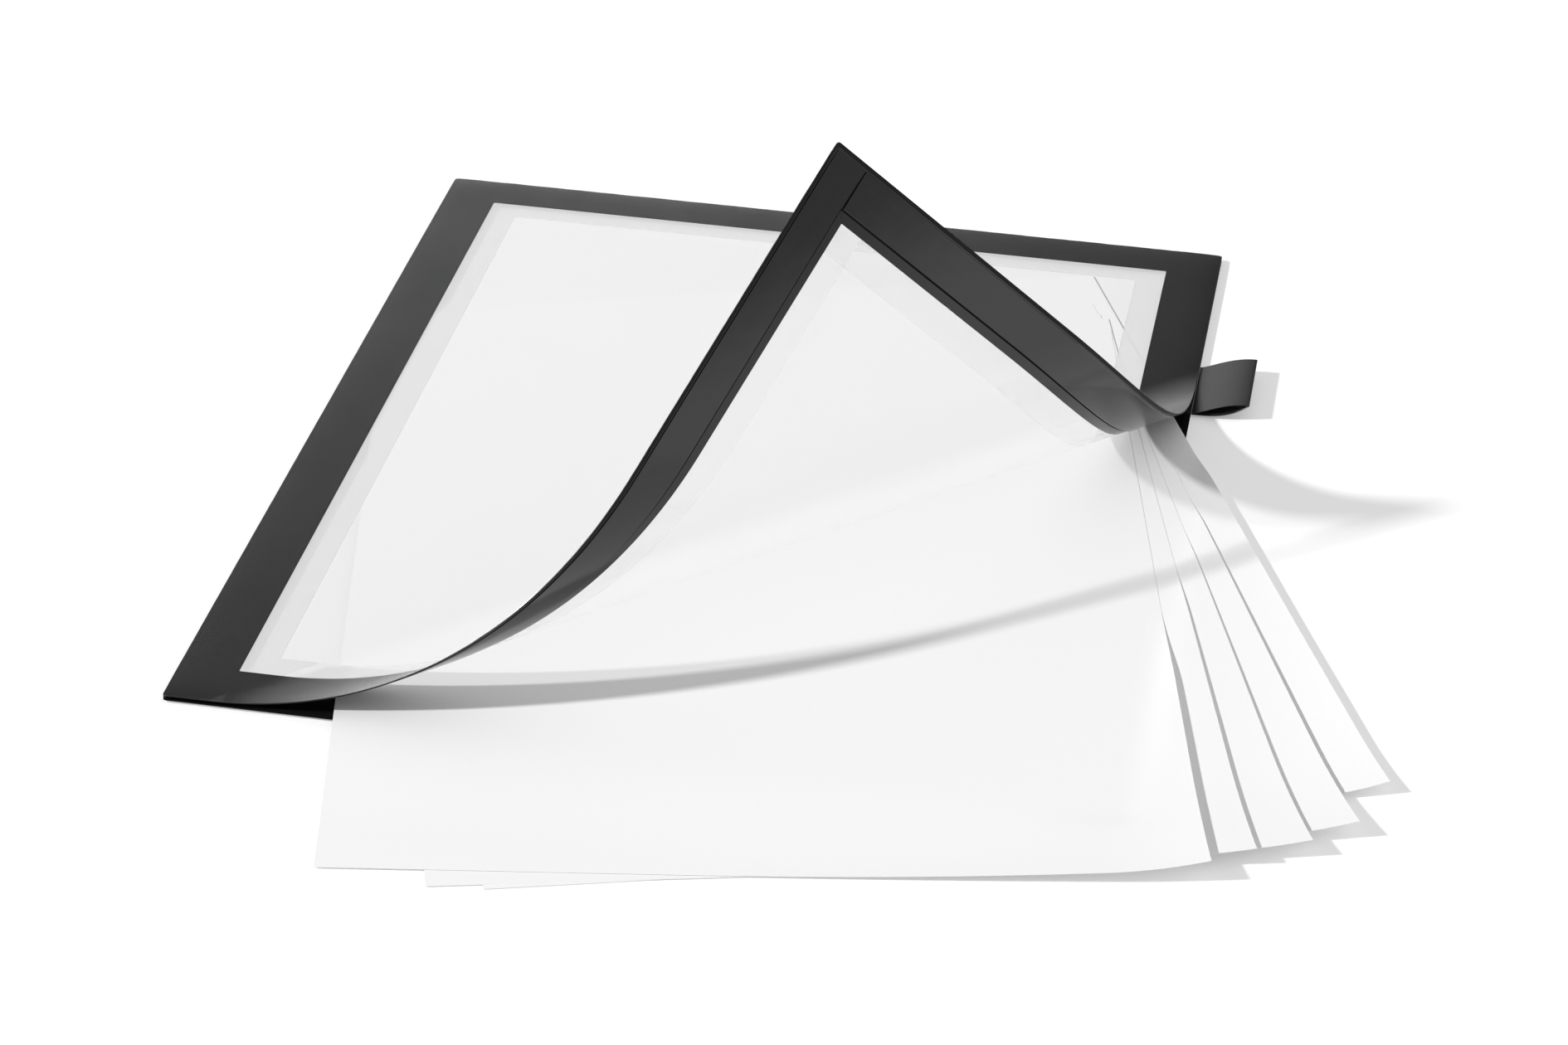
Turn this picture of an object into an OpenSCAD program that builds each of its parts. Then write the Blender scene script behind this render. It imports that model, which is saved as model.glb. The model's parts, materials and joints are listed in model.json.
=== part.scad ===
// Magnetic document frame with its clear cover bent up at one corner and a fan of sheets half way in.
// Millimetres. The origin is the centre of the back face, +Z points to the viewer of the document,
// +Y to the top of the page. The cover's corner is a chain of flat strips that meet on bend lines.

/* [Document] */
// Width of the sheet that the frame holds
sheet_w = 210; // [148:1:297]
// Height of the sheet that the frame holds
sheet_h = 297; // [210:1:420]
// Thickness of one sheet
sheet_t = 0.1; // [0.08:0.01:0.2]
// Space above and below each sheet in the closed pocket
sheet_gap = 0.03; // [0.02:0.01:0.1]
// Space between a sheet's edge and the magnet strips
sheet_clear = 0.5; // [0.3:0.1:3]

/* [Frame] */
// Width of the black border
border_w = 15.5; // [14:0.5:24]
// Width of the frosted edge of the window
frost_w = 8.4; // [4:0.1:14]
// Radius of the frame's outer corners
corner_r = 1; // [0.3:0.1:1.4]
// How far the back sheet stays inside the frame's edge
back_inset = 0.6; // [0.2:0.1:1.4]

/* [Magnets] */
// Width of a magnet strip
magnet_w = 11; // [8:0.5:12]
// Rim of border film outside the magnet strips
magnet_rim = 1.5; // [1.3:0.1:2]
// How far the rear border film goes on inside the magnet strips
rear_lap = 0.4; // [0.2:0.1:2]
// Gap between two magnet strips at a corner
magnet_joint = 0.8; // [0.4:0.1:2]

/* [Layers] */
// Thickness of the back sheet
back_t = 0.7; // [0.4:0.05:1.5]
// Thickness of a black border film
border_t = 0.12; // [0.1:0.01:0.3]
// Thickness of a magnet strip
magnet_t = 0.36; // [0.3:0.01:1]
// Thickness of the clear film
film_t = 0.14; // [0.1:0.01:0.3]
// Thickness of the frosted layer under the film's edge
frost_t = 0.06; // [0.03:0.01:0.09]

/* [Hinge edge] */
// Width of the lip that joins the cover to the back along the left edge
lip_w = 0.8; // [0.5:0.1:1.1]
// Slit in the lip on the hinge line
lip_slit = 0.1; // [0.06:0.01:0.2]

/* [Bent corner] */
// Direction of the bend lines, from the bottom edge
bend_dir = 47.4; // [35:0.1:55]
// Place where the bend starts on the bottom edge, from the frame's left edge
bend_start = 11.8; // [5:0.1:40]
// Length of the bent part, across the bend lines
bend_length = 94; // [60:1:110]
// Angle that the corner is lifted through
bend_angle = 95; // [20:1:120]
// Number of bend lines
bend_count = 12; // [6:1:13]
// Slit between two strips on a bend line
bend_slit = 0.1; // [0.06:0.01:0.2]

/* [Fanned sheets] */
// Turn of each sheet, the top one first
sheet_turn = [10.4, 12.7, 15.8, 18.5, 20.2]; // [0:0.1:24]
// How much lower each sheet is pulled, the top one first
sheet_pull = [0, 0, 8.4, 10.6, -3]; // [-10:0.1:20]
// Place of the sheets' common corner, from the frame's left edge
fan_inset = 2; // [1.6:0.1:12]
// Place of the sheets' common corner, below the frame's top edge
fan_drop = 97; // [60:1:120]

/* [Pull tab] */
// Width of the ribbon, along the frame's edge
tab_w = 30; // [15:1:50]
// How far the ribbon's loop reaches past the edge
tab_reach = 15.8; // [8:0.1:30]
// Height that the loop's end rises
tab_rise = 4.3; // [2:0.1:8]
// Thickness of the ribbon
tab_t = 0.24; // [0.1:0.01:0.24]
// Length of the ribbon's ends, bonded to the back
tab_grip = 10; // [5:0.5:11]
// Middle of the ribbon, below the place where the bend starts on the right edge
tab_drop = 11.6; // [0:0.1:60]
// Clearance round the ribbon's ends, and between them and the loop
tab_clear = 0.1; // [0.05:0.01:0.3]

/* [Hidden] */
$fn = 48;
seat_edge = magnet_rim + magnet_w + sheet_clear;
frame_w = sheet_w + 2 * seat_edge;
frame_h = sheet_h + 2 * seat_edge;
left = -frame_w / 2;
right = frame_w / 2;
bottom = -frame_h / 2;
top = frame_h / 2;
sheet_count = len(sheet_turn);

// Heights of the layers, from the back face up
rear_border_z = back_t;
rear_magnet_z = rear_border_z + border_t;
pocket_z = rear_magnet_z + magnet_t;
pocket_t = sheet_count * sheet_t + (sheet_count + 1) * sheet_gap;
cover_magnet_z = pocket_z + pocket_t;
cover_border_z = cover_magnet_z + magnet_t;
film_z = cover_border_z + border_t;
hinge_z = pocket_z + pocket_t / 2;

// Bend lines, measured across them from the lifted corner
bend_setback = (frame_w - bend_start) * sin(bend_dir);
bend_step = bend_angle / bend_count;
bend_pitch = bend_length / bend_count;
function bend_line(i) = (i - 0.5) * bend_pitch - bend_setback;
far = 2 * (frame_w + frame_h);
tab_y = bottom + bend_setback / cos(bend_dir) - tab_drop;

// The ribbon's loop: share of the reach where the two layers part and meet, and points on each layer
loop_start = 0.05;
loop_end = 0.97;
loop_points = 14;
function share(k, from, to) = from + (to - from) * k / loop_points;
function upper_mid(u) = back_t + 1.5 * tab_t + tab_rise * pow(1 - pow(1 - u, 2), 1.4);
function lower_mid(u) = back_t + 0.5 * tab_t + tab_rise * pow(u, 3);

black = "#262628";
magnet_black = "#1b1b1c";
white = "#f4f4f2";
paper = "#fbfbf9";
clear = [0.9, 0.93, 0.95, 0.4];
sides = ["left", "right", "top", "bottom"];

// Plan of the frame, drawn in by an inset
module plan(inset) {
    r = max(corner_r - inset, 0.05);
    w = frame_w - 2 * inset;
    h = frame_h - 2 * inset;
    square([w - 2 * r, h], center = true);
    square([w, h - 2 * r], center = true);
    for (x = [-1, 1], y = [-1, 1])
        translate([x * (w / 2 - r), y * (h / 2 - r)]) circle(r);
}

// Rectangle that stays one width inside the frame's edge
module inner_plan(inset) square([frame_w - 2 * inset, frame_h - 2 * inset], center = true);

module border_plan() difference() {
    plan(0);
    inner_plan(border_w);
}

module frost_plan() difference() {
    inner_plan(border_w);
    inner_plan(border_w + frost_w);
}

module lip_plan() translate([left, bottom + corner_r]) square([lip_w, frame_h - 2 * corner_r]);

// Strips along the top and bottom run to the corners, and the upright ones end a gap short of them
module magnet_plan(side) {
    long = frame_w - 2 * magnet_rim;
    upright = frame_h - 2 * (magnet_rim + magnet_w + magnet_joint);
    out_x = right - magnet_rim - magnet_w / 2;
    out_y = top - magnet_rim - magnet_w / 2;
    if (side == "left") translate([-out_x, 0]) square([magnet_w, upright], center = true);
    if (side == "right") translate([out_x, 0]) square([magnet_w, upright], center = true);
    if (side == "top") translate([0, out_y]) square([long, magnet_w], center = true);
    if (side == "bottom") translate([0, -out_y]) square([long, magnet_w], center = true);
}

// Axes at the lifted corner, with x across the bend lines and y along them
module at_bend_axes() translate([right, bottom, 0]) rotate(bend_dir - 90) children();
module from_bend_axes() rotate(90 - bend_dir) translate([-right, -bottom, 0]) children();

// The part of the cover between bend lines i and i + 1: 0 is the flat part, bend_count the free corner
module band(i) {
    from = i == 0 ? -far : bend_line(i) + bend_slit / 2;
    to = i == bend_count ? far : bend_line(i + 1) - bend_slit / 2;
    at_bend_axes() translate([from, -far]) square([to - from, 2 * far]);
}

// Lifts what follows bend line i, and all before it, by one step each
module bent(i) {
    if (i == 0) children();
    else bent(i - 1)
        at_bend_axes() translate([bend_line(i), 0, film_z]) rotate([0, -bend_step, 0])
            translate([-bend_line(i), 0, -film_z]) from_bend_axes() children();
}

module layer(i, z, t) translate([0, 0, z]) linear_extrude(t) intersection() {
    children();
    band(i);
}

module back_sheet() color(white) linear_extrude(back_t) plan(back_inset);

// Room in the rear border and magnet for the ribbon's ends
module tab_room() translate([right - tab_grip - tab_clear, tab_y - tab_w / 2 - tab_clear])
    square([tab_grip + 2 * tab_clear, tab_w + 2 * tab_clear]);

module rear_border() color(black) {
    translate([0, 0, rear_border_z]) linear_extrude(border_t) difference() {
        plan(0);
        inner_plan(magnet_rim + magnet_w + rear_lap);
        tab_room();
    }
    translate([0, 0, rear_magnet_z]) linear_extrude(hinge_z - lip_slit / 2 - rear_magnet_z) lip_plan();
}

module rear_magnet(side) color(magnet_black)
    translate([0, 0, rear_magnet_z]) linear_extrude(magnet_t) difference() {
        magnet_plan(side);
        tab_room();
    }

// Two layers of ribbon on the back sheet
module tab_anchor() color(black)
    translate([right - tab_grip, tab_y - tab_w / 2, back_t]) cube([tab_grip, tab_w, 2 * tab_t]);

// One ribbon that goes out, folds at its end and comes back under itself
module tab_loop() color(black)
    translate([right + tab_clear, tab_y + tab_w / 2, 0]) rotate([90, 0, 0]) linear_extrude(tab_w)
        difference() {
            polygon(concat(
                [for (k = [0 : loop_points]) let (u = share(k, 0, 1))
                    [u * tab_reach, upper_mid(u) + tab_t / 2]],
                [for (k = [loop_points : -1 : 0]) let (u = share(k, 0, 1))
                    [u * tab_reach, lower_mid(u) - tab_t / 2]]));
            polygon(concat(
                [for (k = [0 : loop_points]) let (u = share(k, loop_start, loop_end))
                    [u * tab_reach, upper_mid(u) - tab_t / 2]],
                [for (k = [loop_points : -1 : 0]) let (u = share(k, loop_start, loop_end))
                    [u * tab_reach, lower_mid(u) + tab_t / 2]]));
        }

module window(i) color(clear) bent(i) {
    layer(i, film_z, film_t) plan(0);
    layer(i, film_z - frost_t, frost_t) frost_plan();
}

module cover_black(i) color(black) bent(i) {
    layer(i, cover_border_z, border_t) border_plan();
    lip_z = hinge_z + lip_slit / 2;
    layer(i, lip_z, cover_border_z - lip_z) lip_plan();
}

module cover_magnet(i, side) color(magnet_black) bent(i)
    layer(i, cover_magnet_z, magnet_t) magnet_plan(side);

module magnet_strips(i) for (side = sides) cover_magnet(i, side);

// Sheet k lies in its own level of the pocket, turned about its top left corner
module sheet(k) color(paper)
    translate([
        left + fan_inset,
        top - fan_drop - sheet_pull[k - 1],
        pocket_z + sheet_gap + (sheet_count - k) * (sheet_t + sheet_gap)
    ])
        rotate(sheet_turn[k - 1]) translate([0, -sheet_h, 0]) cube([sheet_w, sheet_h, sheet_t]);

back_sheet();
rear_border();
for (side = sides) rear_magnet(side);
tab_anchor();
tab_loop();
window(0);  // cover_window
cover_black(0);  // cover_border
for (side = sides) cover_magnet(0, side);
for (i = [1 : bend_count - 1]) window(i);
for (i = [1 : bend_count - 1]) cover_black(i);
for (i = [1 : bend_count - 1]) magnet_strips(i);
window(bend_count);  // flap_window
cover_black(bend_count);  // flap_border
magnet_strips(bend_count);  // flap_magnets
for (k = [1 : sheet_count]) sheet(k);
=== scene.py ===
import json
from math import cos, pi, radians, sin, tan

import bmesh
import bpy
import numpy as np
from mathutils import Matrix, Vector


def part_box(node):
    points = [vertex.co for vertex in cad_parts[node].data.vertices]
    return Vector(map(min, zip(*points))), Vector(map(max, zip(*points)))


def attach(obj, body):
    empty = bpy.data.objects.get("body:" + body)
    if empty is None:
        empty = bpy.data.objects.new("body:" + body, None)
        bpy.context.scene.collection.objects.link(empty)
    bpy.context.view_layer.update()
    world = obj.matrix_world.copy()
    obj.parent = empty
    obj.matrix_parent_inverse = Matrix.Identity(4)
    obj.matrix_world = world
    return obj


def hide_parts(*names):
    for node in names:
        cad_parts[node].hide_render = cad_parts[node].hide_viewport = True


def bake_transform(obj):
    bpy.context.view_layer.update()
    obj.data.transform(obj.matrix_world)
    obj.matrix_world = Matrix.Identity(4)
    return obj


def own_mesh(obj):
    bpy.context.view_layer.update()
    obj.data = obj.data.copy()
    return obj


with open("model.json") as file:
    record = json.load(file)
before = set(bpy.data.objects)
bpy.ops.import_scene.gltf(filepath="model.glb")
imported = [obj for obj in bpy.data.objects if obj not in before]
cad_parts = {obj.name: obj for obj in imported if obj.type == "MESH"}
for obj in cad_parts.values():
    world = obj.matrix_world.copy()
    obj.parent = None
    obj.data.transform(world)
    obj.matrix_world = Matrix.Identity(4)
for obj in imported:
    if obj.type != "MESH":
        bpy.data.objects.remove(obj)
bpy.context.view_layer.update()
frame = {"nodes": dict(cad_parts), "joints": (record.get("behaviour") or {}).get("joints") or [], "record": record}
mm = 0.001  # lengths below are in millimetres, meshes in metres
tiny = 1e-6  # millimetres, for places that are meant to be the same
jointLimits = {j["name"]: j["range_deg"] for j in frame["joints"]}


def boxMm(node):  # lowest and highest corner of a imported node, in millimetres
    lo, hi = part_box(node)
    return np.array(lo) / mm, np.array(hi) / mm


# Edges and levels that every piece below is drawn from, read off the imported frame
ringLo, ringHi = boxMm("rear_border")
left, bottom = ringLo[0], ringLo[1]
right, top = ringHi[0], ringHi[1]
windowLo, windowHi = boxMm("cover_window")
magnetLo, magnetHi = boxMm("cover_magnet_left")
filmZ = boxMm("cover_border")[1][2]  # underside of the clear film, where the bend lines lie
filmTopZ = windowHi[2]
frostZ = windowLo[2]
magnetZ = magnetLo[2]
borderZ = magnetHi[2]
magnetRim = magnetLo[0] - left
magnetWide = magnetHi[0] - magnetLo[0]
magnetShort = top - magnetHi[1]  # where the upright strips end, from the top edge
borderWide = 15.5  # of the black ring, from the frame's edge
outerSize = "%.1f by %.1f mm" % (right - left, top - bottom)
print("frame loaded:", len(frame["nodes"]), "nodes,", outerSize)

# The lifted corner: a bend of even radius between a flat part and a flat flap
bend = dict(direction=47.4, start=11.8, length=94.0, angle=95.0, lines=12)
bendTurn = radians(bend["direction"])
along = np.array([cos(bendTurn), sin(bendTurn)])  # along the bend lines
across = np.array([sin(bendTurn), -cos(bendTurn)])  # towards the lifted corner
corner = np.array([right, bottom])
setback = (right - left - bend["start"]) * sin(bendTurn)
pitch = bend["length"] / bend["lines"]
bendAngle = radians(bend["angle"])
bendRadius = pitch / 2 / tan(bendAngle / bend["lines"] / 2)
zoneCount = bend["lines"] // 2


# Distance past the bend's start, measured across the bend lines, of flat places
def pastBend(xy):
    return (xy - corner) @ across + setback


# Distances past the bend's start at which a bend zone begins and ends, two bend lines apart
def zoneEnds(zone):
    return np.array([(zone - 1) * 2 * pitch, zone * 2 * pitch])


# Flat cover to lifted cover: before the bend nothing moves, in it a place turns on an arc about the bend's
# axis above the film, by an angle in proportion to its distance, and past it the rest goes on straight
def lift(flat):
    xy = flat[..., :2]
    s = pastBend(xy)
    drop = bendRadius - (flat[..., 2] - filmZ)
    turn = bendAngle * np.clip(s, 0, bend["length"]) / bend["length"]
    beyond = np.maximum(s - bend["length"], 0)
    reach = np.minimum(s, 0) + drop * np.sin(turn) + beyond * np.cos(turn)
    height = filmZ + bendRadius - drop * np.cos(turn) + beyond * np.sin(turn)
    height = np.where(s < 0, flat[..., 2], height)
    moved = xy + np.multiply.outer(reach - s, across)
    return np.concatenate([moved, height[..., None]], -1)


# Quads of a grid of rows by columns, joined round its columns where it is closed
def gridQuads(rows, columns, closed=False):
    i, j = np.meshgrid(np.arange(rows - 1), np.arange(columns if closed else columns - 1), indexing="ij")
    after = (j + 1) % columns
    start, end = i * columns, (i + 1) * columns
    return np.stack([start + j, end + j, end + after, start + after], -1).reshape(-1, 4)


# Faces of a profile that stands at each station of a path: quads from station to station, and the profile
# itself as a face at both ends
def carriedFaces(stations, count):
    faces = list(gridQuads(stations, count, closed=True))
    return faces + [list(range(count)), list(range((stations - 1) * count, stations * count))]


# UV places of a carried profile: the length walked along the path, and the profile's own first measure
def carriedUv(path, profile):
    steps = np.linalg.norm(np.diff(path, axis=0), axis=1)
    run = np.concatenate([[0], np.cumsum(steps)])
    return np.stack(np.broadcast_arrays(run[:, None], profile[None, :, 0]), -1)


# Puts points in millimetres and faces into a mesh, turns the faces outwards and smooths all but true edges
def meshPiece(name, points, faces, finish, uv=None, edgeAngle=30):
    mesh = bpy.data.meshes.new(name)
    places = np.asarray(points).reshape(-1, 3) * mm
    mesh.from_pydata(places.tolist(), [], [tuple(map(int, f)) for f in faces])
    if uv is not None:
        uvLayer = mesh.uv_layers.new(name="UVMap")
        corners = np.zeros(len(mesh.loops), np.int32)
        mesh.loops.foreach_get("vertex_index", corners)
        uvPlaces = np.asarray(uv).reshape(-1, 2)[corners] * mm
        uvLayer.data.foreach_set("uv", uvPlaces.astype(np.float32).ravel())
    worked = bmesh.new()
    worked.from_mesh(mesh)
    bmesh.ops.recalc_face_normals(worked, faces=worked.faces)
    worked.to_mesh(mesh)
    worked.free()
    mesh.shade_smooth()
    mesh.set_sharp_from_angle(angle=radians(edgeAngle))
    mesh.materials.append(finish)
    piece = bpy.data.objects.new(name, mesh)
    bpy.context.scene.collection.objects.link(piece)
    return piece


# Closed bar: a closed profile (distance from the edge, height) stands at each station of a path, drawn in
# from the station's edge place along its own inward vector
def bar(edge, inward, profile):
    edge, inward = np.asarray(edge, float), np.asarray(inward, float)
    stations, count = len(edge), len(profile)
    plan = edge[:, None, :] + inward[:, None, :] * profile[None, :, :1]
    points = np.concatenate([plan, np.broadcast_to(profile[:, 1:], (stations, count, 1))], -1)
    return points.reshape(-1, 3), carriedFaces(stations, count), carriedUv(edge, profile).reshape(-1, 2)


# Several bars as one: points, faces and UV places in a row, each bar's faces counted on from those before it
def joined(bars):
    points, faces, uv, first = [], [], [], 0
    for barPoints, barFaces, barUv in bars:
        points.append(barPoints)
        uv.append(barUv)
        faces += [[int(v) + first for v in face] for face in barFaces]
        first += len(barPoints)
    return np.concatenate(points), faces, np.concatenate(uv)


# Rectangle from one distance and height to another, its four edges broken by a small chamfer
def strip(near, far, low, high, chamfer):
    c = chamfer
    return np.array([
        (near + c, low), (far - c, low), (far, low + c), (far, high - c),
        (far - c, high), (near + c, high), (near, high - c), (near, low + c),
    ])


# Closed slab: an upper and a lower grid of the same size, with walls round the four sides
def slab(upper, lower):
    rows, columns = upper.shape[:2]
    count = rows * columns
    quads = gridQuads(rows, columns)
    rim = np.concatenate([
        np.arange(columns), columns * np.arange(1, rows) + columns - 1,
        count - 1 - np.arange(1, columns), columns * np.arange(rows - 2, 0, -1),
    ])
    after = np.roll(rim, -1)
    walls = np.stack([rim, after, after + count, rim + count], -1)
    points = np.concatenate([upper.reshape(-1, 3), lower.reshape(-1, 3)])
    return points, list(quads) + list(quads[:, ::-1] + count) + list(walls)


# Camera: the photograph's place, direction, roll and lens, from a fit to the frame's straight edges
camera = dict(place=(178.14, -1132.67, 593.76), azimuth=8.351, elevation=28.107, roll=2.327, lens=108.10,
              sensor=36, sees=20000)


# It looks along +Y turned by the azimuth and lowered by the elevation. The roll turns its side and upper axes
def makeCamera():
    a, e, r = (radians(camera[k]) for k in ("azimuth", "elevation", "roll"))
    forward = Vector((-sin(a) * cos(e), cos(a) * cos(e), -sin(e)))
    level = forward.cross(Vector((0, 0, 1))).normalized()
    upright = level.cross(forward)
    side = level * cos(r) + upright * sin(r)
    over = upright * cos(r) - level * sin(r)
    turned = Matrix((side, over, -forward)).transposed().to_4x4()
    data = bpy.data.cameras.new("photoCamera")
    data.lens = camera["lens"]
    data.sensor_fit = "HORIZONTAL"
    data.sensor_width = camera["sensor"]
    data.clip_end = camera["sees"] * mm
    made = bpy.data.objects.new("photoCamera", data)
    bpy.context.scene.collection.objects.link(made)
    made.matrix_world = Matrix.Translation(Vector(camera["place"]) * mm) @ turned
    bpy.context.scene.camera = made


makeCamera()


# Two values of a node tree joined by a maths operation, each a number or another node's output
def combined(tree, operation, *values):
    made = tree.nodes.new("ShaderNodeMath")
    made.operation = operation
    for socket, value in zip(made.inputs, values):
        if isinstance(value, (int, float)):
            socket.default_value = value
        else:
            tree.links.new(value, socket)
    return made.outputs[0]


# A value carried from one range to another, in proportion or by a smooth step, and held at its ends
def rescaled(tree, value, fromMin, fromMax, toMin, toMax, step="LINEAR"):
    made = tree.nodes.new("ShaderNodeMapRange")
    made.interpolation_type = step
    tree.links.new(value, made.inputs["Value"])
    for socket, number in zip(("From Min", "From Max", "To Min", "To Max"), (fromMin, fromMax, toMin, toMax)):
        made.inputs[socket].default_value = number
    return made.outputs["Result"]


# Light: one low soft key from the front left, and a white surround that is brighter on the right. In mirror
# images the surround is white near the ground and on the left, and falls off upwards and to the right
light = dict(travel=32.6, height=34.5, keyShare=0.52, keyWide=3.7, surround=0.52, tilt=0.9)
mirrored = dict(upFrom=0.39, upTo=0.50, upLeast=0.24, sideFrom=-0.16, sideTo=-0.02, sideLeast=0.15)


# The key gives its share on level ground: energy times the sine of its height, over pi. The surround's
# strength grows evenly with the direction's X. In mirror images it is the product of a fall with height and
# one with X, and looked at straight it is plain white
def makeLight():
    scene = bpy.context.scene
    scene.view_settings.view_transform = "Standard"
    a, e = radians(light["travel"]), radians(light["height"])
    key = bpy.data.lights.new("keyLight", "SUN")
    key.energy = light["keyShare"] * pi / sin(e)
    key.angle = radians(light["keyWide"])
    lamp = bpy.data.objects.new("keyLight", key)
    scene.collection.objects.link(lamp)
    lamp.rotation_mode = "QUATERNION"
    lamp.rotation_quaternion = Vector((cos(a) * cos(e), sin(a) * cos(e), -sin(e))).to_track_quat("-Z", "Y")
    world = bpy.data.worlds.new("whiteRoom")
    scene.world = world
    world.use_nodes = True
    tree = world.node_tree
    seen = tree.nodes.new("ShaderNodeLightPath").outputs
    place = tree.nodes.new("ShaderNodeSeparateXYZ")
    tree.links.new(tree.nodes.new("ShaderNodeTexCoord").outputs["Generated"], place.inputs[0])
    sideX, upZ = place.outputs["X"], place.outputs["Z"]
    upwards = rescaled(tree, upZ, mirrored["upFrom"], mirrored["upTo"], 1, mirrored["upLeast"])
    sideways = rescaled(tree, sideX, mirrored["sideFrom"], mirrored["sideTo"], 1, mirrored["sideLeast"])
    image = combined(tree, "MULTIPLY", upwards, sideways)
    image = combined(tree, "MULTIPLY", image, seen["Is Glossy Ray"])
    dim, bright = light["surround"] * (1 - light["tilt"]), light["surround"] * (1 + light["tilt"])
    diffuse = rescaled(tree, sideX, -1, 1, dim, bright)
    diffuse = combined(tree, "MULTIPLY", diffuse, combined(tree, "SUBTRACT", 1, seen["Is Glossy Ray"]))
    direct = combined(tree, "MAXIMUM", seen["Is Camera Ray"], seen["Is Transmission Ray"])
    strength = combined(tree, "MAXIMUM", combined(tree, "MAXIMUM", image, diffuse), direct)
    sky = tree.nodes["Background"]
    sky.inputs["Color"].default_value = (1, 1, 1, 1)
    tree.links.new(strength, sky.inputs["Strength"])


# Floor: a pale plane just under the frame, which fades along one direction in mirror images
floorSize = dict(half=4000, below=0.03, colour=0.78, shown=0.29, fadeTurn=-60, fadeFrom=245, fadeTo=310,
                 fadeLeast=0.38)


# The floor's diffuse colour takes the shadows. What it lacks to white is added where it is looked at, in a
# mirror or through the film too. In mirror images both darken to the front right
def makeFloor():
    finish = bpy.data.materials.new("paleFloor")
    finish.use_nodes = True
    tree = finish.node_tree
    shader = tree.nodes["Principled BSDF"]
    shader.inputs["Roughness"].default_value = 1
    shader.inputs["Specular IOR Level"].default_value = 0
    seen = tree.nodes.new("ShaderNodeLightPath").outputs
    away = tree.nodes.new("ShaderNodeVectorMath")
    away.operation = "DOT_PRODUCT"
    tree.links.new(tree.nodes.new("ShaderNodeTexCoord").outputs["Object"], away.inputs[0])
    turn = radians(floorSize["fadeTurn"])
    away.inputs[1].default_value = (cos(turn), sin(turn), 0)
    start, end = floorSize["fadeFrom"] * mm, floorSize["fadeTo"] * mm
    fade = rescaled(tree, away.outputs["Value"], start, end, 0, 1 - floorSize["fadeLeast"])
    kept = combined(tree, "SUBTRACT", 1, combined(tree, "MULTIPLY", fade, seen["Is Glossy Ray"]))
    tree.links.new(combined(tree, "MULTIPLY", kept, floorSize["colour"]), shader.inputs["Base Color"])
    looked = combined(tree, "MAXIMUM", seen["Is Camera Ray"], seen["Is Glossy Ray"])
    looked = combined(tree, "MAXIMUM", looked, seen["Is Transmission Ray"])
    shown = combined(tree, "MULTIPLY", combined(tree, "MULTIPLY", looked, kept), floorSize["shown"])
    shader.inputs["Emission Color"].default_value = (1, 1, 1, 1)
    tree.links.new(shown, shader.inputs["Emission Strength"])
    h, z = floorSize["half"], -floorSize["below"]
    grid = np.array([(-h, -h, z), (h, -h, z), (h, h, z), (-h, h, z)])
    floor = meshPiece("floor", grid, [(0, 1, 2, 3)], finish)


makeLight()
makeFloor()
print("camera, light and floor are set")

noiseSpread = (0.3, 0.7)  # the part of a noise's range in which most of it lies
narrowSpread = (0.35, 0.65)  # and a smaller part, for more contrast


def grey(level):  # one level for red, green and blue, and no see-through
    return (level, level, level, 1)


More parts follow.
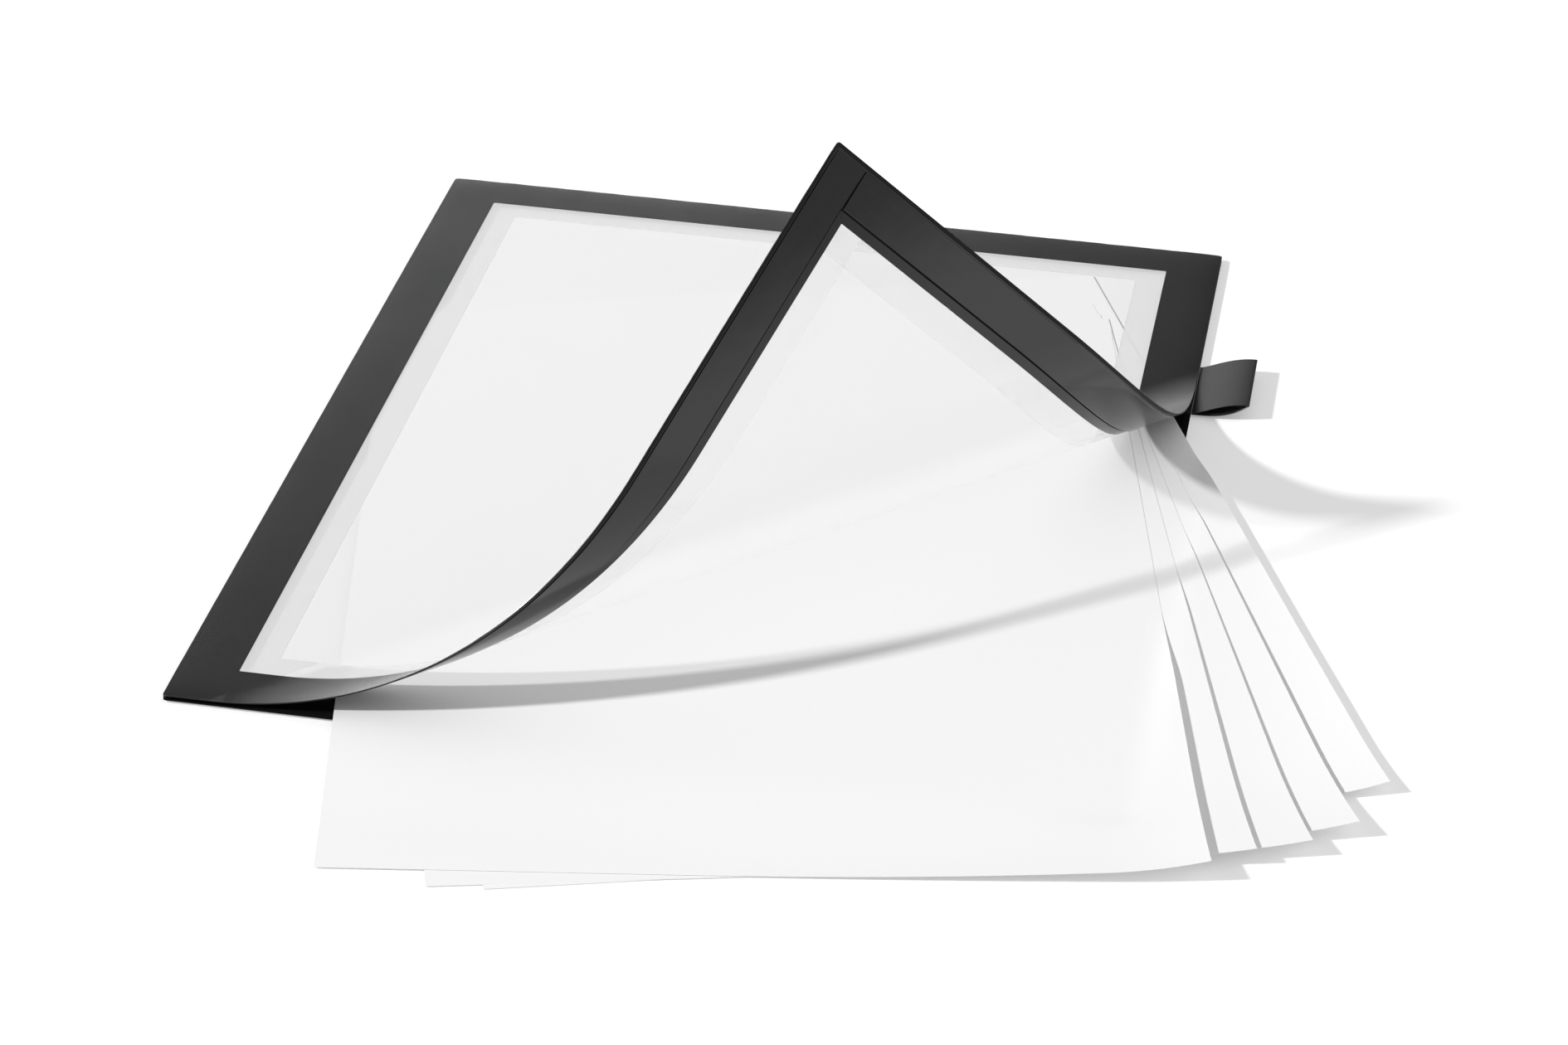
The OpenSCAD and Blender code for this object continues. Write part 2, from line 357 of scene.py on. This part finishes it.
# Finishes. Each is a Principled shader with its pattern in Object coordinates, or in the piece's own
# UV map (metres along the strip, metres from the frame's edge)
class Finish:
    def __init__(self, name, level, specular):
        self.made = bpy.data.materials.new(name)
        self.made.use_nodes = True
        self.tree = self.made.node_tree
        self.shader = self.tree.nodes["Principled BSDF"]
        self.places = self.tree.nodes.new("ShaderNodeTexCoord").outputs
        self.set("Base Color", grey(level))
        self.set("Specular IOR Level", specular)

    # One value for the whole piece
    def set(self, socket, value):
        self.shader.inputs[socket].default_value = value

    # A value that another node gives from place to place
    def drive(self, socket, value):
        self.tree.links.new(value, self.shader.inputs[socket])

    # Noise of a given grain in millimetres, stretched along the axes if asked
    def noise(self, grain, detail=3, stretch=(1, 1, 1), space="Object"):
        turn = self.tree.nodes.new("ShaderNodeMapping")
        turn.inputs["Scale"].default_value = stretch
        self.tree.links.new(self.places[space], turn.inputs["Vector"])
        made = self.tree.nodes.new("ShaderNodeTexNoise")
        made.inputs["Scale"].default_value = 1 / (grain * mm)
        made.inputs["Detail"].default_value = detail
        self.tree.links.new(turn.outputs["Vector"], made.inputs["Vector"])
        return made.outputs["Fac"]

    # Small round specks, one in each cell of a given size. A surface shows those that it cuts
    def specks(self, cell, radius):
        spots = self.tree.nodes.new("ShaderNodeTexVoronoi")
        spots.inputs["Scale"].default_value = 1 / (cell * mm)
        self.tree.links.new(self.places["Object"], spots.inputs["Vector"])
        return self.range(spots.outputs["Distance"], 0, radius / cell, 1, 0)

    # A value carried from one range to another by a smooth step
    def range(self, value, *limits):
        return rescaled(self.tree, value, *limits, "SMOOTHSTEP")

    # Roughness from one level to another, by a pattern
    def roughBy(self, pattern, roughness, spread=noiseSpread):
        self.drive("Roughness", self.range(pattern, *spread, *roughness))

    # Grey level mixed between two, by a pattern
    def colourBy(self, share, low, high):
        made = self.tree.nodes.new("ShaderNodeMix")
        made.data_type = "RGBA"
        self.tree.links.new(share, made.inputs["Factor"])
        made.inputs["A"].default_value = grey(low)
        made.inputs["B"].default_value = grey(high)
        self.drive("Base Color", made.outputs["Result"])

    # Surface tilted as if a pattern were its height, up to a depth in millimetres
    def bump(self, height, strength, depth):
        made = self.tree.nodes.new("ShaderNodeBump")
        made.inputs["Strength"].default_value = strength
        made.inputs["Distance"].default_value = depth * mm
        self.tree.links.new(height, made.inputs["Height"])
        self.drive("Normal", made.outputs["Normal"])


satin = dict(colour=0.010, roughness=(0.30, 0.42), specular=0.02, cloud=24, grain=0.35,
             grainBump=(0.03, 0.02), dustCell=9, dustSize=0.11, dustColour=0.09)
rearSatin = dict(satin, colour=0.008, specular=0.5, roughness=(0.16, 0.22))
beadSatin = dict(satin, specular=0.12, roughness=(0.40, 0.50))


# Black film: dull under the clear film, which gives the cover its shine, and satin where it lies bare. Its
# roughness goes by a wide cloud, and fine dust lies on a fine grain
def satinBlackFilm(name, look):
    f = Finish(name, look["colour"], look["specular"])
    f.roughBy(f.noise(look["cloud"], detail=4), look["roughness"])
    f.colourBy(f.specks(look["dustCell"], look["dustSize"]), look["colour"], look["dustColour"])
    f.bump(f.noise(look["grain"]), *look["grainBump"])
    return f.made


rubber = dict(colour=0.007, worn=0.010, patch=14, roughness=(0.08, 0.14), specular=0.55, line=0.5, run=60,
              ripple=14, rippleBump=(0.25, 0.25), chamfer=0.1)
# The rear magnets take a darker, duller copy of the rubber: painted shade, for the shade they lie in under the
# lifted cover
rearRubberPaintedShade = dict(rubber, colour=0.005, worn=0.005, roughness=(0.5, 0.6), specular=0.06)


# Magnet rubber: its roughness goes by lines drawn out along the strip, its colour by patches, and it
# ripples a little
def magnetRubber(name, look):
    f = Finish(name, look["colour"], look["specular"])
    drawnOut = (look["line"] / look["run"], 1, 1)
    lines = f.noise(look["line"], detail=2, stretch=drawnOut, space="UV")
    f.roughBy(lines, look["roughness"], narrowSpread)
    f.colourBy(f.noise(look["patch"], detail=4), look["colour"], look["worn"])
    f.bump(f.noise(look["ripple"], detail=2), *look["rippleBump"])
    return f.made


film = dict(colour=1.0, metallic=1.0, specular=0.5, share=0.5, squareOn=0.04, power=5,
            roughness=(0.18, 0.26), cloud=30)


# Clear film: each of its two faces gives half of the mirror image, least where it is seen square on
# (Schlick's rule), and what lies behind it shows for the rest
def clearFilm():
    f = Finish("clearFilm", film["colour"], film["specular"])
    f.set("Metallic", film["metallic"])
    rim = f.tree.nodes.new("ShaderNodeLayerWeight")
    rim.inputs["Blend"].default_value = 0.5  # an even blend: one less the cosine of the angle
    steep = combined(f.tree, "POWER", rim.outputs["Facing"], film["power"])
    f.drive("Alpha", rescaled(f.tree, steep, 0, 1, film["share"] * film["squareOn"], film["share"]))
    f.roughBy(f.noise(film["cloud"]), film["roughness"])
    return f.made


filmRim = dict(colour=0.08, roughness=0.2, specular=0.5, cloud=5, alpha=(0.4, 0.9))


# The film's cut edge is dark over the black border and catches light as a thin pale line
def filmEdge():
    f = Finish("filmEdge", filmRim["colour"], filmRim["specular"])
    f.set("Roughness", filmRim["roughness"])
    f.drive("Alpha", f.range(f.noise(filmRim["cloud"]), *narrowSpread, *filmRim["alpha"]))
    return f.made


frost = dict(wide=8.4, roughness=(0.34, 0.44), cloud=6, specular=0.3, index=1.3, line=0.93, lineFrom=0.45,
             lineTo=0.15, through=0.0)
flatFrost = dict(frost, colour=0.77, milky=0.60)
# The lifted copy and the corner square's copy are paler than the flat one: painted light for the light coming
# through them from behind
liftedFrostPaintedPale = dict(frost, colour=0.97, milky=0.20, through=0.7)
doubleFrostPaintedPale = dict(frost, colour=0.96, milky=0.90, through=1.0, line=1.0)


# Frosted film: each face scatters a share of the light back and lets the rest through, and a fine darker
# line runs along its inner edge. Where it is lifted it is given a paler colour, painted light for the light
# that comes through it from behind. Two layers lie on each other in the lifted corner, given a paler, more
# milky copy, and nothing is seen sharply through them
def frostedFilm(name, look):
    f = Finish(name, look["colour"], look["specular"])
    f.set("Alpha", look["milky"])
    f.set("Transmission Weight", look["through"])
    f.set("IOR", look["index"])
    place = f.tree.nodes.new("ShaderNodeSeparateXYZ")
    f.tree.links.new(f.places["UV"], place.inputs[0])
    inner = borderWide + look["wide"]
    start, end = (inner - look["lineFrom"]) * mm, (inner - look["lineTo"]) * mm
    f.colourBy(f.range(place.outputs["Y"], start, end, 0, 1), look["colour"], look["colour"] * look["line"])
    f.roughBy(f.noise(look["cloud"], detail=2), look["roughness"])
    return f.made


paper = dict(colour=0.895, darker=0.012, lighter=0.008, grain=0.9, roughness=0.85, specular=0.15,
             fibre=0.5, fibreBump=(0.06, 0.02))


# Paper: its grey level goes by a fine cloud, and its fibres raise it a little
def uncoatedPaper():
    f = Finish("uncoatedPaper", paper["colour"], paper["specular"])
    f.set("Roughness", paper["roughness"])
    low, high = paper["colour"] - paper["darker"], paper["colour"] + paper["lighter"]
    f.colourBy(f.noise(paper["grain"], detail=6), low, high)
    f.bump(f.noise(paper["fibre"], detail=4), *paper["fibreBump"])
    return f.made


backing = dict(colour=0.90, roughness=(0.42, 0.52), specular=0.3, cloud=18, grain=0.7, grainBump=(0.05, 0.02))


# White backing: its roughness goes by a wide cloud, over a fine grain
def whiteBacking():
    f = Finish("whiteBacking", backing["colour"], backing["specular"])
    f.roughBy(f.noise(backing["cloud"]), backing["roughness"])
    f.bump(f.noise(backing["grain"]), *backing["grainBump"])
    return f.made


ribbon = dict(colour=0.012, faded=1.6, patch=6, roughness=0.32, specular=0.32, sheen=0.05, sheenRough=0.4,
              rib=0.42, ribStray=1.2, ribBump=(0.12, 0.03))


# Ribbon: ribs across its run, as a wave that turns once in a rib's width, and a colour that fades by patches
def wovenRibbon():
    f = Finish("wovenRibbon", ribbon["colour"], ribbon["specular"])
    f.set("Roughness", ribbon["roughness"])
    f.set("Sheen Weight", ribbon["sheen"])
    f.set("Sheen Roughness", ribbon["sheenRough"])
    ribs = f.tree.nodes.new("ShaderNodeTexWave")
    ribs.inputs["Scale"].default_value = pi / 10 / (ribbon["rib"] * mm)  # at scale 1 it turns once in pi / 10
    ribs.inputs["Distortion"].default_value = ribbon["ribStray"]
    f.tree.links.new(f.places["UV"], ribs.inputs["Vector"])
    f.colourBy(f.noise(ribbon["patch"]), ribbon["colour"], ribbon["colour"] * ribbon["faded"])
    f.bump(ribs.outputs["Fac"], *ribbon["ribBump"])
    return f.made


blackFinish = satinBlackFilm("dullBlackFilm", satin)
bareBlackFinish = satinBlackFilm("satinBlackFilm", rearSatin)
beadFinish = satinBlackFilm("beadBlackFilm", beadSatin)
magnetFinish = magnetRubber("magnetRubber", rubber)
rearMagnetPaintedShadeFinish = magnetRubber("rearMagnetRubberPaintedShade", rearRubberPaintedShade)
filmFinish = clearFilm()
filmEdgeFinish = filmEdge()
frostFinish = frostedFilm("frostedFilm", flatFrost)
liftedFrostPaintedPaleFinish = frostedFilm("liftedFrostedFilmPaintedPale", liftedFrostPaintedPale)
doubleFrostPaintedPaleFinish = frostedFilm("doubleFrostedFilmPaintedPale", doubleFrostPaintedPale)
paperFinish = uncoatedPaper()
backFinish = whiteBacking()
ribbonFinish = wovenRibbon()

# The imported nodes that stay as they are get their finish
slotFinish = dict(white_back=backFinish, black_film=blackFinish, magnet_strip=magnetFinish,
                  clear_film=filmFinish, black_ribbon=ribbonFinish, paper=paperFinish)
slotOf = {p["node"]: p["material_slot"] for p in frame["record"]["subparts"]}
for name, node in frame["nodes"].items():
    nodeFinish = slotFinish[slotOf[name]]
    if name == "rear_border":
        nodeFinish = bareBlackFinish
    # Rear magnets get the darker, duller copy of the rubber, painted shade
    if name.startswith("rear_magnet"):
        nodeFinish = rearMagnetPaintedShadeFinish
    node.data.materials.clear()
    node.data.materials.append(nodeFinish)
print("finishes are made")

# Cover: its outline is walked from the bend on the bottom edge, round three corners, to the bend on the right
cover = dict(chamfer=0.03, edgeAngle=20, cornerRadius=1.0, cornerSteps=5, cornerLeads=(10, 6, 3.5, 1.6),
             zoneSteps=20, filmColumns=7, gap=0.01, groove=0.5, grooveDeep=0.1, beadWide=1.0, beadDeep=0.3,
             crown=0.2, crownReach=4.0, crownAt=(0.5, 1.0, 1.8, 2.8, 4.2, 6.2, 9.0))
bottomIn = np.array([along[0] / along[1], 1])  # along a bend line, per millimetre from the bottom edge
rightIn = np.array([-1, -along[1] / along[0]])  # and from the right edge


# Places where lines at given distances past the bend's start meet the bottom edge
def bottomAt(s):
    s = np.asarray(s, float)
    return np.stack([right - (setback - s) / sin(bendTurn), np.full_like(s, bottom)], -1)


# And where they meet the right edge
def rightAt(s):
    s = np.asarray(s, float)
    return np.stack([np.full_like(s, right), bottom + (setback - s) / cos(bendTurn)], -1)


# Stations round one outer corner, from one edge to the next: places along the first edge, on the arc and
# along the second edge, each drawn in to the ring's inner corner. Without a ring's depth the corner is one
# sharp station
def roundCorner(x, y, signX, signY, fromSide, deep):
    if not deep:
        return np.array([(x, y)]), np.array([(-signX, -signY)], float)
    a = np.linspace(0, pi / 2, cover["cornerSteps"])
    arc = cover["cornerRadius"] * np.stack([1 - np.cos(a), 1 - np.sin(a)], -1)  # upright edge to lying one
    straight = np.array([deep, *cover["cornerLeads"]])
    upright = np.stack([np.zeros_like(straight), straight], -1)
    walked = np.concatenate([upright, arc, upright[::-1, ::-1]])
    places = np.array([x, y]) - np.array([signX, signY]) * (walked if fromSide else walked[::-1])
    inner = np.array([x - signX * deep, y - signY * deep])
    return places, (inner - places) / deep


# Stations of the flat part's or the flap's outline: the bend's line on the bottom edge, the corners in turn
# and the same line on the right edge, each with its inward vector
def outlineStations(zone, deep):
    if zone == 0:
        line = 0
        turns = [roundCorner(left, bottom, -1, -1, False, deep), roundCorner(left, top, -1, 1, True, deep),
                 roundCorner(right, top, 1, 1, False, deep)]
    else:
        line = bend["length"]
        turns = [roundCorner(right, bottom, 1, -1, False, deep)]
    edge = [bottomAt([line])] + [t[0] for t in turns] + [rightAt([line])]
    inward = [bottomIn[None]] + [t[1] for t in turns] + [rightIn[None]]
    return np.concatenate(edge), np.concatenate(inward)


# A ring's profile carried along one zone of the cover: the flat part, a bend zone's two runs, or the flap
def ringBars(zone, profile, deep):
    if zone == 0 or zone > zoneCount:
        return [bar(*outlineStations(zone, deep), profile)]
    s = np.linspace(*zoneEnds(zone), cover["zoneSteps"] + 1)
    runs = [(bottomAt(s), bottomIn), (rightAt(s), rightIn)]
    return [bar(edge, np.broadcast_to(inward, edge.shape), profile) for edge, inward in runs]


# The magnets' bars in one zone: top and bottom run to the corners, the upright ones stop a gap short of them
def magnetBars(zone, profile):
    low, high = bottom + magnetShort, top - magnetShort
    inX, inY = np.array([-1.0, 0]), np.array([0, 1.0])
    if zone == 0:
        upright = np.array([(left, low), (left, high)])
        lying = np.array([(left + magnetRim, top), (right - magnetRim, top)])
        start = np.array([(left + magnetRim, bottom), bottomAt([0])[0]])
        end = np.array([(right, high), rightAt([0])[0]])
        return [bar(upright, [-inX, -inX], profile), bar(lying, [-inY, -inY], profile),
                bar(start, [inY, bottomIn], profile), bar(end, [inX, rightIn], profile)]
    if zone > zoneCount:
        last = bend["length"]
        lying = np.array([bottomAt([last])[0], (right - magnetRim, bottom)])
        upright = np.array([(right, low), rightAt([last])[0]])
        return [bar(lying, [bottomIn, inY], profile), bar(upright, [inX, rightIn], profile)]
    return ringBars(zone, profile, None)


# Crown: the cover's upper layers fall towards the frame's edges. The fall dies away as a power of e from
# each edge, adds up at the corners and leaves the magnets' undersides flat
def crowned(flat):
    fall = 0
    for apart in (flat[:, 0] - left, right - flat[:, 0], flat[:, 1] - bottom, top - flat[:, 1]):
        fall = fall + cover["crown"] * np.exp(-apart / cover["crownReach"])
    made = flat.copy()
    made[:, 2] -= fall * np.clip((flat[:, 2] - magnetZ) / (borderZ - magnetZ), 0, 1)
    return made


# A layer's profile across the border: a strip with points enough to follow the crown. Its underside may start
# with a bead and have a dip
def layer(near, far, low, high, chamfer, bead=(), dip=()):
    c = chamfer
    inside = [e for e in cover["crownAt"] if near + c < e < far - 2 * c]
    start = list(bead) or [(near + c, low)]
    spared = [start[-1][0]] + [e for e, z in dip]
    under = [(e, low) for e in inside if e > spared[0] and not (dip and spared[1] <= e <= spared[-1])]
    lower = start + sorted(under + list(dip)) + [(far - c, low), (far, low + c)]
    upper = [(far, high - c), (far - c, high)] + [(e, high) for e in inside[::-1]]
    return np.array(lower + upper + [(near + c, high), (near, high - c), (near, start[0][1] + c)])


# The film inside the border, flat in plan: in the bend each row is a bend line from border to border, in the
# flat part and the flap it is one face with straight sides
def filmPlate(zone, low, high):
    if 0 < zone <= zoneCount:
        s = np.linspace(*zoneEnds(zone), cover["zoneSteps"] + 1)
        v = np.linspace(0, 1, cover["filmColumns"])[None, :, None]
        plan = (bottomAt(s) + borderWide * bottomIn)[:, None] * (1 - v)
        plan = plan + (rightAt(s) + borderWide * rightIn)[:, None] * v
        level = np.ones(plan.shape[:2])[..., None]
        points, faces = slab(*[np.concatenate([plan, level * z], -1) for z in (high, low)])
    else:
        places, ins = outlineStations(zone, None)
        plan = places + borderWide * ins
        count = len(plan)
        level = np.ones((count, 1))
        points = np.concatenate([np.concatenate([plan, level * z], -1) for z in (high, low)])
        faces = [list(range(count)), list(range(count, 2 * count))]
        faces += [[i, (i + 1) % count, (i + 1) % count + count, i + count] for i in range(count)]
    return points, faces, np.tile((0.0, borderWide), (len(points), 1))


# Every piece of a zone follows the chain: the flat part rides on the cover, the flap on the free corner, and
# each bend zone's mesh is baked in place, on no body
def followChain(piece, zone):
    if zone == 0:
        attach(piece, "cover")
    elif zone > zoneCount:
        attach(piece, "free_corner")
    else:
        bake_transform(piece)


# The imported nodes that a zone's pieces stand for
def standsFor(zone, kind):
    whole = dict(window="cover_window", border="cover_border", magnet="cover_magnet_%s")
    ends = dict(window="flap_window", border="flap_border", magnet="flap_magnets")
    if zone == 0:
        sides = ("left", "right", "top", "bottom")
        return [whole[kind] % side for side in sides] if kind == "magnet" else [whole[kind]]
    if zone > zoneCount:
        return [ends[kind]]
    return ["%s_strip_%d" % (kind, i) for i in (2 * zone - 1, 2 * zone) if i < bend["lines"]]


# One piece of a zone: its flat points are crowned, then lifted. Without a kind it stands for no packed
# node. Light is taken as passing the film, but the lifted frosted margin shades a little
def coverPiece(name, zone, shape, finish, kind, slotName):
    points, faces, uv = shape
    pieceName = "%s_%d" % (name, zone)
    piece = meshPiece(pieceName, lift(crowned(points)), faces, finish, uv, cover["edgeAngle"])
    followChain(piece, zone)
    if kind:
        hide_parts(*standsFor(zone, kind))
    if slotName == "clear_film":
        piece.visible_shadow = name == "frostedMargin" and zone > 0
        piece.visible_diffuse = False
    return piece


# A further finish for the faces whose corners are all marked
def furtherFinish(piece, finish, marked):
    piece.data.materials.append(finish)
    for face in piece.data.polygons:
        if all(marked[v] for v in face.vertices):
            face.material_index = len(piece.data.materials) - 1


# The profiles of border, frosted margin, magnets and film, carried along every zone of the cover
def makeCover():
    c, gap = cover["chamfer"], cover["gap"]
    groove = magnetRim + magnetWide + np.array([0, cover["groove"] / 2, cover["groove"]])
    dip = list(zip(groove, borderZ + np.array([0, cover["grooveDeep"], 0])))
    beadZ, beadEnd = borderZ - cover["beadDeep"], cover["beadWide"]
    bead = [(c, beadZ), (beadEnd - c, beadZ), (beadEnd, beadZ + c), (beadEnd, borderZ)]
    ring = layer(0, borderWide, borderZ, filmZ, c, bead, dip)
    inner = borderWide + frost["wide"]
    margin = strip(borderWide, inner, frostZ, filmZ - gap, c / 2)
    rubberBar = layer(magnetRim, magnetRim + magnetWide, magnetZ, borderZ - gap, rubber["chamfer"])
    filmBand = layer(0, borderWide, filmZ + gap, filmTopZ, c)
    for zone in range(zoneCount + 2):
        black = joined(ringBars(zone, ring, borderWide))
        under = coverPiece("coverBorder", zone, black, blackFinish, "border", "black_film")
        furtherFinish(under, bareBlackFinish, black[0][:, 2] < (borderZ + filmZ) / 2)
        outer = (black[2][:, 1] <= beadEnd) & (black[0][:, 2] < filmZ - c / 2)
        furtherFinish(under, beadFinish, outer)
        frosted = joined(ringBars(zone, margin, inner))
        # Lifted zones take the paler copy of the frosted film, painted light for the light through it from behind
        marginFinish = liftedFrostPaintedPaleFinish if zone else frostFinish
        milky = coverPiece("frostedMargin", zone, frosted, marginFinish, None, "clear_film")
        # The flap's corner square takes the more milky copy, painted paler in the same way
        if zone > zoneCount:
            doubled = (frosted[0][:, :2] - corner) * (-1, 1) <= inner + tiny
            furtherFinish(milky, doubleFrostPaintedPaleFinish, doubled.all(1))
        bars = joined(magnetBars(zone, rubberBar))
        coverPiece("coverMagnets", zone, bars, magnetFinish, "magnet", "magnet_strip")
        sheet = joined(ringBars(zone, filmBand, borderWide) + [filmPlate(zone, filmZ + gap, filmTopZ)])
        clear = coverPiece("coverFilm", zone, sheet, filmFinish, "window", "clear_film")
        furtherFinish(clear, filmEdgeFinish, sheet[2][:, 1] <= c + tiny)


makeCover()
print("cover is made:", zoneCount + 2, "zones of film, margin, border and magnets")

# Hinge edge: the two black films meet in a narrow lip along the left edge
hinge = dict(wide=0.8, chamfer=0.06, steps=24)


# A strip from the rear border up to the cover's bead, carried along the left edge between the rounded corners
def makeHingeEdge():
    low = ringHi[2]
    high = borderZ - cover["beadDeep"]
    profile = strip(0, hinge["wide"], low, high, hinge["chamfer"])
    y = np.linspace(bottom + cover["cornerRadius"], top - cover["cornerRadius"], hinge["steps"])
    edge = np.stack([np.full_like(y, left), y], -1)
    points, faces, uv = bar(edge, np.broadcast_to((1.0, 0.0), edge.shape), profile)
    piece = meshPiece("hingeEdge", points, faces, bareBlackFinish, uv)
    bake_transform(piece)


makeHingeEdge()
print("hinge edge is made")

# Pull tab: one ribbon that goes out, folds at its end and comes back over itself
tab = dict(thick=0.24, rise=4.3, underPower=3, overFall=2, overPower=1.4, chamfer=0.05, edgeAngle=40,
           steps=26, fold=7, bendsOver=5.0)


# The lower run rises by the cube of its share of the reach. The upper one rises by a power of one less the
# square of what is left of it. A half circle joins their ends, and the ribbon's section stands square to
# this path
def makeTab():
    lo, hi = boxMm("tab_loop")
    reach, t = hi[0] - lo[0], tab["thick"]
    base = boxMm("tab_anchor")[0][2]
    u = np.linspace(0, 1, tab["steps"])
    underRise = tab["rise"] * u ** tab["underPower"]
    overRise = tab["rise"] * (1 - (1 - u) ** tab["overFall"]) ** tab["overPower"]
    under = np.stack([lo[0] + reach * u, base + t / 2 + underRise], -1)
    over = np.stack([lo[0] + reach * u, base + 3 * t / 2 + overRise], -1)
    middle = (under[-1] + over[-1]) / 2
    a = np.linspace(-pi / 2, pi / 2, tab["fold"])[1:-1]
    fold = middle + t / 2 * np.stack([np.cos(a), np.sin(a)], -1)
    path = np.concatenate([under, fold, over[::-1]])
    tangent = np.gradient(path, axis=0)
    tangent /= np.linalg.norm(tangent, axis=1)[:, None]
    normal = np.stack([-tangent[:, 1], tangent[:, 0]], -1)
    profile = strip(lo[1], hi[1], -t / 2, t / 2, tab["chamfer"])
    plan = path[:, None] + normal[:, None] * profile[None, :, 1:]
    y = np.broadcast_to(profile[None, :, 0], plan.shape[:2])
    points = np.stack([plan[..., 0], y, plan[..., 1]], -1)
    faces, uv = carriedFaces(*points.shape[:2]), carriedUv(path, profile)
    piece = meshPiece("tabRibbon", points, faces, ribbonFinish, uv, tab["edgeAngle"])
    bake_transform(piece)
    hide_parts("tab_loop")


makeTab()
print("pull tab is made")

# Sheets: flat in the pocket, lying down to the table past the frame, curled up together at the front right
sheets = dict(size=(210.0, 297.0), thick=0.1, columns=85, rows=120, fall=46, spacing=0.115, table=0.03,
              keep=0.01, curl=4.4, curlTurn=33, curlFrom=190, curlOver=47.7, overlap=1,
              edge=(2.6, 1.6, 1.7, 2.2, 3.0), edgeReach=25, edgeFrom=60, freeFrom=2, freeOver=8)
sheetCount = len(sheets["edge"])


# From 0 to 1 by three times the square less twice the cube
def smoothStep(t):
    t = np.clip(t, 0, 1)
    return t * t * (3 - 2 * t)


# Top left corner of sheet k in plan, and the angle by which its top edge is turned
def sheetPlace(k):
    lo, hi = boxMm("sheet_%d" % k)
    turn = radians(jointLimits["sheet_%d_insert" % k][1])
    return lo[0], hi[1] - sheets["size"][0] * sin(turn), turn


# Distance of a place in plan from sheet k's top left corner, along the top edge and down
def onSheet(k, x, y):
    startX, startY, turn = sheetPlace(k)
    dx, dy = x - startX, y - startY
    return dx * cos(turn) + dy * sin(turn), dx * sin(turn) - dy * cos(turn)


# Height of sheet k over a place in plan. It keeps its level in the pocket, and past the frame it goes down
# to the table by a smooth step. All sheets curl up by the square of the distance past a slanting line at
# the front right, and each one's right edge rises by a further square, but both only past the frame, so
# that the cover can close over the sheets. No sheet lies lower than the next one under it
def sheetHeight(k, x, y):
    level = boxMm("sheet_%d" % k)[0][2]
    wide, long = sheets["size"]
    u, v = onSheet(k, x, y)
    outside = np.hypot(np.maximum(x - right, 0), np.maximum(bottom - y, 0))
    onTable = sheets["table"] + (sheetCount - k) * sheets["spacing"]
    z = level + (onTable - level) * smoothStep(outside / sheets["fall"])
    slant = radians(sheets["curlTurn"])
    past = (x * sin(slant) - y * cos(slant) - sheets["curlFrom"]) / sheets["curlOver"]
    curl = sheets["curl"] * np.maximum(past, 0) ** 2
    near = np.clip(1 - (wide - u) / sheets["edgeReach"], 0, 1) ** 2
    down = np.maximum(v - sheets["edgeFrom"], 0) / (long - sheets["edgeFrom"])
    free = smoothStep((outside - sheets["freeFrom"]) / sheets["freeOver"])
    z = z + (curl + sheets["edge"][k - 1] * near * down * (2 - down)) * free
    if k < sheetCount:
        u, v = onSheet(k + 1, x, y)
        rim = sheets["overlap"]
        covers = (u > -rim) & (u < wide + rim) & (v > -rim) & (v < long + rim)
        z = np.where(covers, np.maximum(z, sheetHeight(k + 1, x, y) + sheets["spacing"]), z)
    return z


# A place on the sheet is set by its distance from the top left corner along the top and down
def sheetGrid(k):
    startX, startY, turn = sheetPlace(k)
    wide, long = sheets["size"]
    u, v = np.linspace(0, wide, sheets["columns"]), np.linspace(0, long, sheets["rows"])
    u, v = np.meshgrid(u, v, indexing="ij")
    x = startX + u * cos(turn) + v * sin(turn)
    y = startY + u * sin(turn) - v * cos(turn)
    return np.stack([x, y, sheetHeight(k, x, y)], -1)


# Each sheet is its grid and the same one raised by the paper's thickness, on the sheet's own body
def makeSheets():
    for k in range(1, sheetCount + 1):
        lower = sheetGrid(k)
        upper = lower + np.array([0, 0, sheets["thick"]])
        piece = meshPiece("paperSheet_%d" % k, *slab(upper, lower), paperFinish)
        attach(piece, "sheet_%d" % k)
        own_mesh(piece)
        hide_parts("sheet_%d" % k)


makeSheets()
print("sheets are made")
